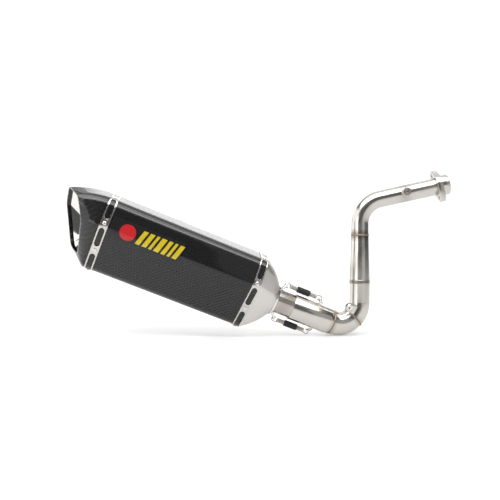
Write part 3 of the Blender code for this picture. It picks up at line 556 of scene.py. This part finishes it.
def loft(name, loops):
    """Closed skin over matching loops, with UVs in millimetres along the piece and round it."""
    bm = bmesh.new()
    uv_layer = bm.loops.layers.uv.new("along_round_mm")
    rings = [[bm.verts.new(p) for p in loop] for loop in loops]
    count = len(rings[0])
    widest = max(rings, key=lambda r: sum((r[i].co - r[i - 1].co).length for i in range(count)))
    round_way = [0.0]
    for i in range(count):
        round_way.append(round_way[-1] + (widest[(i + 1) % count].co - widest[i].co).length)
    for first, second in zip(rings, rings[1:] + rings[:1]):
        for i in range(count):
            j = (i + 1) % count
            face = bm.faces.new((first[i], first[j], second[j], second[i]))
            for corner, step in zip(face.loops, (i, i + 1, i + 1, i)):
                reach = (corner.vert.co - muffler_frame.translation).dot(muffler_dir)
                corner[uv_layer].uv = (reach / MM, round_way[step] / MM)
    bmesh.ops.recalc_face_normals(bm, faces=bm.faces)
    mesh = bpy.data.meshes.new(name)
    bm.to_mesh(mesh)
    bm.free()
    obj = bpy.data.objects.new(name, mesh)
    bpy.context.scene.collection.objects.link(obj)
    return obj


def finished_copy(node_name, body, material, bevel=0.0, sharp=35):
    """Copy a CAD piece, join its loose triangles and round its edges slightly."""
    obj = bpy.data.objects.new(node_name + "_shown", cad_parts[node_name].data.copy())
    bpy.context.scene.collection.objects.link(obj)
    select_only(obj)
    bpy.ops.object.mode_set(mode="EDIT")
    bpy.ops.mesh.select_all(action="SELECT")
    bpy.ops.mesh.remove_doubles(threshold=0.01 * MM)
    bpy.ops.mesh.dissolve_limited(angle_limit=radians(0.5))
    bpy.ops.object.mode_set(mode="OBJECT")
    if bevel:
        rounding = obj.modifiers.new("edges", "BEVEL")
        rounding.width, rounding.segments = bevel, 2
        rounding.angle_limit = radians(40)
        bpy.ops.object.modifier_apply(modifier="edges")
    return finish_piece(obj, body, material, [node_name], sharp)


def turned(name, place, profile, closed=True, sides=64):
    """Pull a circle through (radius, height) steps, then stand the shape in its place."""
    bpy.ops.object.select_all(action="DESELECT")
    bpy.ops.mesh.primitive_circle_add(vertices=sides, radius=profile[0][0],
                                      fill_type="NOTHING" if closed else "NGON")
    obj = bpy.context.object
    obj.name = name
    bpy.ops.object.mode_set(mode="EDIT")
    bpy.ops.mesh.select_all(action="SELECT")
    bpy.ops.transform.translate(value=(0, 0, profile[0][1]))
    for (old_r, old_height), (r, height) in zip(profile, profile[1:]):
        bpy.ops.mesh.extrude_region_move(TRANSFORM_OT_translate={"value": (0, 0, height - old_height)})
        bpy.ops.transform.resize(value=(r / old_r, r / old_r, 1), center_override=(0, 0, height))
    if closed:
        bpy.ops.mesh.select_all(action="DESELECT")
        bpy.ops.mesh.select_mode(type="EDGE")
        bpy.ops.mesh.select_non_manifold()
        bpy.ops.mesh.bridge_edge_loops()
    bpy.ops.mesh.select_all(action="SELECT")
    bpy.ops.mesh.normals_make_consistent(inside=False)
    bpy.ops.object.mode_set(mode="OBJECT")
    obj.data.transform(place)
    return obj


def bent_rod(name, path, radius, sides=16, wall=0.0):
    """Round bar along a path of (point, share of the radius), or a tube when it has a wall."""
    curve = bpy.data.curves.new(name, "CURVE")
    curve.dimensions = "3D"
    curve.bevel_depth = radius
    curve.bevel_resolution = (sides - 4) // 2
    curve.use_fill_caps = not wall
    spline = curve.splines.new("POLY")
    spline.points.add(len(path) - 1)
    for spot, (point, share) in zip(spline.points, path):
        spot.co = (*point, 1)
        spot.radius = share
    obj = bpy.data.objects.new(name, curve)
    bpy.context.scene.collection.objects.link(obj)
    select_only(obj)
    bpy.ops.object.convert(target="MESH")
    obj = bpy.context.object
    if wall:
        shell = obj.modifiers.new("wall", "SOLIDIFY")
        shell.thickness, shell.offset = wall, -1
        bpy.ops.object.modifier_apply(modifier="wall")
    return obj


# ---- header ----

def weld_bead(name, centre, way, radius, body, material):
    """Ring of overlapping weld ripples round a seam: one drop, copied round the tube."""
    bpy.ops.object.select_all(action="DESELECT")
    bpy.ops.mesh.primitive_uv_sphere_add(segments=10, ring_count=6, radius=BEAD_HEIGHT)
    drop = bpy.context.object
    place = frame_at(centre, way, AWAY)
    step = 2 * pi * radius / RIPPLES
    drop.data.transform(Matrix.Diagonal((0.8, step / BEAD_HEIGHT * 0.85, 1.7, 1)))
    drop.data.transform(Matrix.Translation((radius, 0, 0)))
    parts = []
    for i in range(RIPPLES):
        copy = drop.copy()
        copy.data = drop.data.copy()
        copy.data.transform(place @ Matrix.Rotation(2 * pi * i / RIPPLES, 4, "Z"))
        bpy.context.scene.collection.objects.link(copy)
        parts.append(copy)
    bpy.data.objects.remove(drop)
    bpy.ops.object.select_all(action="DESELECT")
    for copy in parts:
        copy.select_set(True)
    bpy.context.view_layer.objects.active = parts[0]
    bpy.ops.object.join()
    bead = bpy.context.object
    bead.name = name
    return finish_piece(bead, body, material, sharp=60)


def upper_tube(steel):
    """Bent header tube, from the port collar to the first weld."""
    steps = 2 * BEND_STEPS
    path = [(into_pipe * (COLLAR_LENGTH + GAP), 1)]
    for i in range(steps + 1):
        spoke = PORT_TILT + (pi / 2 - PORT_TILT) * i / steps
        path.append((upper_bend_centre + Vector((-sin(spoke), 0, cos(spoke))) * UPPER_BEND_R, 1))
    path.append((Vector((vertical_x, 0, TAPER_TOP_Z)), 1))
    tube = bent_rod("upper_header_tube", path, HEADER_OD / 2, TUBE_SIDES, TUBE_WALL)
    finish_piece(tube, "header", steel, ["upper_header"])


def taper_tube(steel):
    top, end = Vector((vertical_x, 0, TAPER_TOP_Z - 0.1 * MM)), Vector((vertical_x, 0, TAPER_END_Z))
    path = [(top, (HEADER_OD / 2 + 0.2 * MM) / (LOWER_OD / 2)), (end, 1)]
    tube = bent_rod("taper_tube_shown", path, LOWER_OD / 2, TUBE_SIDES, TUBE_WALL)
    finish_piece(tube, "header", steel, ["taper_tube"])


def joint_ring(steel):
    """Ring with a rounded rib near each end."""
    tube_r, length = LOWER_OD / 2, JOINT_RING_LENGTH
    bore, groove, proud = tube_r - TUBE_WALL, tube_r + 0.2 * MM, tube_r + JOINT_RING_PROUD
    rib = [(groove, 0.01 * MM), (proud, 0.7 * MM), (proud, 1.8 * MM), (groove, 2.4 * MM)]
    mirrored = [(r, length - height) for r, height in reversed(rib)]
    place = frame_at(Vector((vertical_x, 0, TAPER_END_Z - length)), UP, AWAY)
    shown = turned("joint_ring_shown", place, [(bore, 0), *rib, *mirrored, (bore, length)])
    finish_piece(shown, "header", steel, ["joint_ring"])


def widening_path(first_turn, last_turn, first_r, last_r):
    """Path round the lower bend for a tube that widens evenly to its last radius."""
    path = []
    for i in range(BEND_STEPS + 1):
        share = i / BEND_STEPS
        centre = lower_bend_at(first_turn + (last_turn - first_turn) * share)[0]
        path.append((centre, (first_r + (last_r - first_r) * share) / last_r))
    return path


def lower_tubes(steel):
    """Lower bend and the elbow welded to it."""
    tube_r, seam_r, elbow_r = LOWER_OD / 2, SEAM_OD / 2, ELBOW_OD / 2
    start = Vector((vertical_x, 0, TAPER_END_Z - JOINT_RING_LENGTH - GAP))
    path = [(start, tube_r / seam_r)] + widening_path(0, SEAM_TURN, tube_r, seam_r)
    bend = bent_rod("lower_bend_shown", path, seam_r, TUBE_SIDES, TUBE_WALL)
    finish_piece(bend, "header", steel, ["lower_bend"])
    path = widening_path(SEAM_TURN, lower_turn, seam_r, elbow_r)
    elbow = bent_rod("lower_elbow_shown", path, elbow_r, TUBE_SIDES, TUBE_WALL)
    finish_piece(elbow, "header", steel, ["lower_elbow"])


def link_pipe(steel):
    """Pipe that flares up from the elbow, with a rounded mouth for the stub."""
    elbow_r, link_r, start = ELBOW_OD / 2, LINK_OD / 2, GAP - LINK_LENGTH
    pipe = turned("link_pipe_shown", link_frame, [
        (elbow_r - TUBE_WALL, start), (elbow_r, start), (elbow_r + 0.9 * MM, start + 4 * MM),
        (link_r, start + LINK_FLARE), (link_r, -0.8 * MM), (link_r - 0.5 * MM, 0),
        (link_r - TUBE_WALL, 0), (link_r - TUBE_WALL, start + LINK_FLARE)], sides=JOINT_SIDES)
    finish_piece(pipe, "header", steel, ["link_pipe"])


def header_tubes():
    """Tubes from the port to the link pipe, tinted brown beside their welds, with painted shade in the
    joint ring's groove.
    """
    weld = Vector((vertical_x, 0, TAPER_TOP_Z))
    ring_middle = Vector((vertical_x, 0, TAPER_END_Z - JOINT_RING_LENGTH / 2))
    seam_centre, seam_way = lower_bend_at(SEAM_TURN)
    end_centre, end_way = lower_bend_at(lower_turn)
    weld_tint = (weld, UP, 14 * MM, 0.75)
    end_tint = (end_centre, end_way, 10 * MM, 0.3)
    linished = (1400, 1400, 90)
    upper_steel = brushed_stainless("linished_stainless_header", linished, [
        weld_tint, (into_pipe * 83 * MM, into_pipe, 20 * MM, 0.25),
        (into_pipe * 16 * MM, into_pipe, 12 * MM, 0.35)])
    # the narrow dark band at the joint ring's middle is painted shade in the groove between its ribs, not
    # heat tint
    lower_steel = brushed_stainless("linished_stainless_bend", linished, [
        weld_tint, (ring_middle, UP, 5 * MM, 0.7), (seam_centre, seam_way, 10 * MM, 0.35), end_tint])
    upper_tube(upper_steel)
    taper_tube(lower_steel)
    joint_ring(lower_steel)
    lower_tubes(lower_steel)
    link_pipe(brushed_stainless("linished_stainless_link", (90, 1400, 1400), [end_tint]))
    bead = plain_metal("tinted_weld_metal", "#8f8376", 0.34)
    weld_bead("weld_taper", weld, UP, HEADER_OD / 2 + 0.2 * MM, "header", bead)
    weld_bead("weld_lower_bend", seam_centre, seam_way, SEAM_OD / 2, "header", bead)
    weld_bead("weld_link", end_centre, end_way, ELBOW_OD / 2, "header", bead)


def small_header_pieces():
    machined = brushed_stainless("turned_stainless", (200, 1400, 1400))
    bright = polished_steel()
    finished_copy("port_collar", "header", machined, 0.4 * MM)
    finished_copy("head_flange", "head_flange", machined, 0.8 * MM)
    finished_copy("sensor_bung", "header", machined, 0.3 * MM)
    dark = plain_metal("zinc_plated_steel", "#aaa8a4", 0.3)
    finished_copy("sensor_plug", "sensor_plug", dark, 0.4 * MM)
    copper = plain_metal("annealed_copper", "#b87350", 0.35)
    finished_copy("plug_washer", "sensor_plug", copper, 0.2 * MM)
    finished_copy("header_bracket", "header", machined, 0.5 * MM)
    finished_copy("bracket_boss", "header", bright, 0.3 * MM)


# ---- springs ----

def spring_hooks(bright):
    """Staples welded on the pipes, bent from round bar."""
    span, height = HOOK_HALF_SPAN, HOOK_BAR_HEIGHT
    kinds = (("stub", "muffler", STUB_HOOK_FOOT, STUB_HOOK_BAR, STUB_OD / 2),
             ("link", "header", LINK_HOOK_FOOT, LINK_HOOK_BAR, LINK_OD / 2))
    for place, side in (("upper", 1), ("lower", -1)):
        for kind, body, foot, bar, pipe_r in kinds:
            foot_height = sqrt((pipe_r + HOOK_FOOT_LIFT) ** 2 - span ** 2)
            lean = bar + (foot - bar) * 0.15
            corner = [(-span + HOOK_CORNER * (1 - cos(t)), height - HOOK_CORNER * (1 - sin(t)),
                       lean + (bar - lean) * sin(t)) for t in [pi / 2 * k / 6 for k in range(7)]]
            half = [(-span, foot_height, foot)] + corner
            path = half + [(-x, y, z) for x, y, z in reversed(half)]
            points = [(link_frame @ Vector((x, y * side, z)), 1) for x, y, z in path]
            name = f"{place}_{kind}_hook"
            hook = bent_rod(name + "_shown", points, HOOK_BAR_D / 2)
            finish_piece(hook, body, bright, [name])


def extension_springs():
    """Tension springs with open hooks and rubber sleeves, built in one shape; the real springs stretch as
    the slip joint slides.
    """
    wire = plain_metal("spring_wire", "#b9b5ae", 0.22)
    rubber = moulded_rubber()
    coil_r = (SPRING_OD - SPRING_WIRE_D) / 2
    seat = SPRING_HOOK_R - SPRING_WIRE_D / 2 - HOOK_BAR_D / 2 - GAP
    first, last = LINK_HOOK_BAR + seat, STUB_HOOK_BAR - seat
    coil_start, coil_end = first + SPRING_HOOK_R * 1.5, last - SPRING_HOOK_R * 1.5
    turns, per_turn, hook_steps = round((coil_end - coil_start) / SPRING_PITCH), 20, 16
    path = []
    for i in range(hook_steps + 1):
        t = radians(-40 - 230 * i / hook_steps)
        path.append((0, SPRING_HOOK_R * sin(t), first + SPRING_HOOK_R * cos(t)))
    for i in range(turns * per_turn + 1):
        t = 2 * pi * i / per_turn
        reach = coil_start + (coil_end - coil_start) * i / (turns * per_turn)
        path.append((coil_r * sin(t), coil_r * cos(t), reach))
    for i in range(hook_steps + 1):
        t = radians(90 - 230 * i / hook_steps)
        path.append((0, SPRING_HOOK_R * sin(t), last + SPRING_HOOK_R * cos(t)))
    for place, side in (("upper", 1), ("lower", -1)):
        points = [(link_frame @ Vector((x, (HOOK_BAR_HEIGHT + y) * side, z)), 1) for x, y, z in path]
        spring = bent_rod(place + "_spring_shown", points, SPRING_WIRE_D / 2, 10)
        finish_piece(spring, None, wire, [place + "_spring"], sharp=60)
        axis = link_frame @ Matrix.Translation((0, HOOK_BAR_HEIGHT * side, (coil_start + coil_end) / 2))
        bore, outer, half = SPRING_OD / 2 + 0.2 * MM, SPRING_SLEEVE_OD / 2, SPRING_SLEEVE_LENGTH / 2
        edge = 0.6 * MM
        sleeve = turned(place + "_spring_sleeve_shown", axis, [
            (bore, -half), (outer - edge, -half), (outer, edge - half), (outer, half - edge),
            (outer - edge, half), (bore, half)], sides=32)
        finish_piece(sleeve, None, rubber, [place + "_spring_sleeve"])
        for piece in (spring, sleeve):
            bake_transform(piece)


# ---- muffler ----

def sleeve_shell():
    """Carbon sleeve, with its outer edges slightly rounded."""
    front, rear, edge = SLEEVE_FRONT, SLEEVE_REAR, 0.4 * MM
    carbon = carbon_twill("satin_lacquered_twill_sleeve", 1.9, 0.06, 0.25)
    sleeve = loft("sleeve_shown", [
        ring(section(-edge), front), ring(section(), front + edge),
        ring(section(), rear - edge), ring(section(-edge), rear),
        ring(section(-SLEEVE_WALL), rear), ring(section(-SLEEVE_WALL), front)])
    finish_piece(sleeve, "muffler", carbon, ["sleeve"])


def end_cap():
    """Carbon cap that bellies out and narrows to its slanted mouth."""
    rear, spigot_end = SLEEVE_REAR, SLEEVE_REAR - SPIGOT_LENGTH
    shoulder = ring(section(), rear + 4 * MM)
    mouth = slanted(section(scale=MOUTH_SCALE), MOUTH_REACH)
    belly = part_way(shoulder, slanted(section(scale=CAP_FULLNESS), MOUTH_REACH), 0.5)
    inner_shoulder = ring(section(-SPIGOT_FIT - CAP_WALL), rear + 2 * MM)
    lip = slanted(section(-CAP_WALL, MOUTH_SCALE), MOUTH_REACH)
    thin = [p - p.normalized() * CAP_WALL for p in section(scale=CAP_FULLNESS)]
    inner_belly = part_way(inner_shoulder, slanted(thin, MOUTH_REACH - 2 * MM), 0.5)
    carbon = carbon_twill("gloss_lacquered_twill_cap", 3.2, 0.03, 0.5)
    cap = loft("end_cap_shown", [
        ring(section(-SPIGOT_FIT), spigot_end), ring(section(-SPIGOT_FIT), rear + GAP),
        ring(section(-0.5 * MM), rear + GAP), ring(section(), rear + 0.8 * MM), shoulder,
        *curved_between(shoulder, belly, mouth, 14), mouth, lip, inner_belly, inner_shoulder,
        ring(section(-SPIGOT_FIT - CAP_WALL), spigot_end)])
    finish_piece(cap, "muffler", carbon, ["end_cap"])


def outlet_liner():
    """Polished liner from inside the mouth's lip to a round throat."""
    throat, end = SLEEVE_REAR + THROAT_REACH, SLEEVE_REAR - LINER_LAP
    outer_edge = section(-CAP_WALL - 0.6 * MM, MOUTH_SCALE)
    inner_edge = section(-CAP_WALL - 0.6 * MM - LINER_WALL, MOUTH_SCALE)
    outer_mouth = slanted(outer_edge, MOUTH_REACH, LINER_DEPTH)
    inner_mouth = slanted(inner_edge, MOUTH_REACH, LINER_DEPTH)
    outer_throat = ring(even_round(THROAT_R + 3.5 * MM), throat)
    inner_throat = ring(even_round(THROAT_R + 2 * MM), throat + MM)
    liner = loft("outlet_liner_shown", [
        outer_mouth, part_way(outer_mouth, outer_throat, 0.5), outer_throat,
        ring(even_round(THROAT_R + LINER_WALL + 0.2 * MM), throat - THROAT_ROUND),
        ring(even_round(THROAT_R + LINER_WALL), end), ring(even_round(THROAT_R), end),
        ring(even_round(THROAT_R), throat - THROAT_ROUND), inner_throat,
        part_way(inner_throat, inner_mouth, 0.5), inner_mouth])
    finish_piece(liner, "muffler", polished_steel(), ["outlet_liner"])


def inlet_cone():
    """Blasted cone that grows from its round collar to the sleeve's section."""
    front, spigot_end = SLEEVE_FRONT, SLEEVE_FRONT + SPIGOT_LENGTH
    collar_r, collar_back = CONE_COLLAR_OD / 2, CONE_END + CONE_COLLAR_LENGTH + GAP
    waist = collar_back + (front - collar_back) * 0.42
    collar = round_like(section(), collar_r)
    collar_inside = round_like(section(), collar_r - TUBE_WALL)
    start = ring(collar, collar_back)
    middle = ring(part_way(collar, section(), 0.55), waist)
    last = ring(section(-0.5 * MM), front - GAP)
    cone = loft("inlet_cone_shown", [
        start, *curved_between(start, middle, last, 12), last, ring(section(-SPIGOT_FIT), front - GAP),
        ring(section(-SPIGOT_FIT), spigot_end), ring(section(-SPIGOT_FIT - SPIGOT_WALL), spigot_end),
        ring(section(-SPIGOT_FIT - SPIGOT_WALL), front),
        ring(part_way(collar_inside, section(-2 * TUBE_WALL), 0.5), waist),
        ring(collar_inside, collar_back)])
    finish_piece(cone, "muffler", satin_cone_metal(), ["inlet_cone"])


def bands_and_rivets():
    strap = brushed_stainless("brushed_band_strip", (1400, 90, 1400))
    head = plain_metal("domed_rivet_aluminium", "#d4d4d2", 0.24)
    r, shank_r = RIVET_HEAD_D / 2, RIVET_SHANK_D / 2
    seat = 1.6 * MM
    pattern = turned("rivet_pattern", Matrix.Identity(4), [
        (shank_r, -3.4 * MM), (shank_r, seat), (r - 0.2 * MM, seat), (r, seat + 0.25 * MM),
        (r * 0.93, seat + 0.6 * MM), (r * 0.75, seat + 0.95 * MM), (r * 0.5, seat + 1.25 * MM),
        (r * 0.34, seat + 1.35 * MM), (r * 0.26, seat + 1.0 * MM)], closed=False, sides=24)
    stations = (("front_band", SLEEVE_FRONT + BAND_WIDTH / 2),
                ("rear_band", SLEEVE_REAR - BAND_WIDTH / 2))
    for band, station in stations:
        finished_copy(band, "muffler", strap, 0.25 * MM)
        for i in range(RIVETS_PER_BAND):
            point, normal = outline_at(PERIMETER * i / RIVETS_PER_BAND)
            out = muffler_frame.to_3x3() @ Vector((normal.x, normal.y, 0))
            place = frame_at(muffler_frame @ Vector((point.x, point.y, station)), out, muffler_dir)
            rivet = bpy.data.objects.new(f"{band}_rivet_{i + 1}_shown", pattern.data.copy())
            bpy.context.scene.collection.objects.link(rivet)
            rivet.data.transform(place)
            finish_piece(rivet, "muffler", head, [f"{band}_rivet_{i + 1}"])
    bpy.data.objects.remove(pattern)


def wrap_on_sleeve(obj, lift, thickness):
    """Lay a flat piece, drawn as station by distance round the sleeve, on the sleeve's face."""
    for vertex in obj.data.vertices:
        point, normal = outline_at(vertex.co.y)
        spot = point + normal * lift
        vertex.co = muffler_frame @ Vector((spot.x, spot.y, vertex.co.x))
    select_only(obj)
    bpy.ops.object.mode_set(mode="EDIT")
    bpy.ops.mesh.select_all(action="SELECT")
    bpy.ops.mesh.normals_make_consistent(inside=False)
    bpy.ops.object.mode_set(mode="OBJECT")
    outwards = muffler_frame.to_3x3() @ Vector((1, 0, 0))
    if sum(f.normal.dot(outwards) for f in obj.data.polygons) < 0:
        obj.data.flip_normals()
    film = obj.modifiers.new("film", "SOLIDIFY")
    film.thickness, film.offset = thickness, 1
    bpy.ops.object.modifier_apply(modifier="film")


def flat_panel(name, station, distance, length, height, lean=0.0):
    """Flat grid cut to a panel's length and height, its top pushed along by lean."""
    bpy.ops.object.select_all(action="DESELECT")
    bpy.ops.mesh.primitive_grid_add(x_subdivisions=4, y_subdivisions=28, size=1)
    panel = bpy.context.object
    panel.name = name
    for vertex in panel.data.vertices:
        x, y = vertex.co.x, vertex.co.y
        vertex.co = (station + x * length + y * lean, distance + y * height, 0)
    return panel


def sleeve_decal():
    """Black panel over the near ridge, with a plain red disc and plain yellow bars."""
    ridge = Vector((RIDGE_HALF_WIDTH, RIDGE_HEIGHT))
    samples = [PERIMETER * i / 400 for i in range(400)]
    at_ridge = min(samples, key=lambda d: (outline_at(d)[0] - ridge).length)
    middle = at_ridge + LABEL_RAISE
    rear = SLEEVE_REAR - BAND_WIDTH - 3 * MM
    film = new_material("black_vinyl_film", Base_Color="#0d0d0e", Roughness=0.32)[0]
    red = new_material("red_printed_ink", Base_Color="#c4141b", Roughness=0.35)[0]
    yellow = new_material("yellow_printed_ink", Base_Color="#d2ba17", Roughness=0.35)[0]
    panel = flat_panel("decal_panel", rear - LABEL_LENGTH / 2, middle, LABEL_LENGTH, LABEL_HEIGHT)
    wrap_on_sleeve(panel, 0.3 * MM, 0.2 * MM)
    finish_piece(panel, "muffler", film, ["label_plate"])
    bpy.ops.object.select_all(action="DESELECT")
    bpy.ops.mesh.primitive_grid_add(x_subdivisions=24, y_subdivisions=24, size=2)
    disc = bpy.context.object
    disc.name = "decal_disc"
    for vertex in disc.data.vertices:
        x, y = vertex.co.x, vertex.co.y
        round_x, round_y = x * sqrt(1 - y * y / 2), y * sqrt(1 - x * x / 2)
        vertex.co = (rear - DISC_FROM_REAR + round_x * DISC_R, middle + round_y * DISC_R, 0)
    wrap_on_sleeve(disc, 0.5 * MM, 0.1 * MM)
    finish_piece(disc, "muffler", red)
    for i, (start, width) in enumerate(BARS):
        bar = flat_panel(f"decal_bar_{i + 1}", rear - (start + width / 2) * MM, middle, width * MM,
                         BAR_HEIGHT, BAR_LEAN)
        wrap_on_sleeve(bar, 0.5 * MM, 0.1 * MM)
        finish_piece(bar, "muffler", yellow)


def muffler_inside():
    """Stub, collar, core, packing, plates and the noise insert."""
    stub_r, collar_r = STUB_OD / 2, CONE_COLLAR_OD / 2
    end_centre = link_frame.translation
    tinted = brushed_stainless("heat_tinted_stub_steel", (90, 1400, 1400),
                               [(end_centre + muffler_dir * 18 * MM, muffler_dir, 40 * MM, 0.4)])
    stub = turned("inlet_stub_shown", link_frame, [
        (stub_r - TUBE_WALL, -SLIP_LAP), (stub_r, -SLIP_LAP), (stub_r, STUB_REAR),
        (stub_r - TUBE_WALL, STUB_REAR)], sides=JOINT_SIDES)
    finish_piece(stub, "muffler", tinted, ["inlet_stub"])
    back = CONE_END + CONE_COLLAR_LENGTH
    collar = turned("cone_collar_shown", link_frame, [
        (stub_r + GAP, CONE_END), (collar_r - 2 * MM, CONE_END),
        (collar_r - 0.6 * MM, CONE_END + 0.6 * MM), (collar_r, CONE_END + 2 * MM),
        (collar_r, back), (stub_r + GAP, back)], sides=JOINT_SIDES)
    finish_piece(collar, "muffler", polished_steel(), ["cone_collar"])
    raw = plain_metal("raw_pressed_steel", "#8d8a86", 0.42)
    for name in ("core_tube", "front_plate", "rear_plate", "noise_insert"):
        body = "noise_insert" if name == "noise_insert" else "muffler"
        finished_copy(name, body, raw, 0.2 * MM if name == "noise_insert" else 0)
    finished_copy("packing", "muffler", glass_packing())
    finished_copy("insert_screw", "noise_insert", plain_metal("screw_steel", "#b5b3af", 0.3),
                  0.2 * MM)


def hanger():
    pressed = brushed_stainless("pressed_hanger_steel", (1400, 1400, 90))
    finished_copy("hanger_bracket", "muffler", pressed, 0.5 * MM)
    finished_copy("hanger_bush", "muffler", moulded_rubber(), 0.5 * MM)
    spacer = plain_metal("turned_spacer_steel", "#9a9792", 0.3)
    finished_copy("hanger_spacer", "muffler", spacer, 0.3 * MM)


make_camera()
make_studio()
header_tubes()
small_header_pieces()
spring_hooks(polished_steel())
extension_springs()
sleeve_shell()
end_cap()
outlet_liner()
inlet_cone()
bands_and_rivets()
sleeve_decal()
muffler_inside()
hanger()
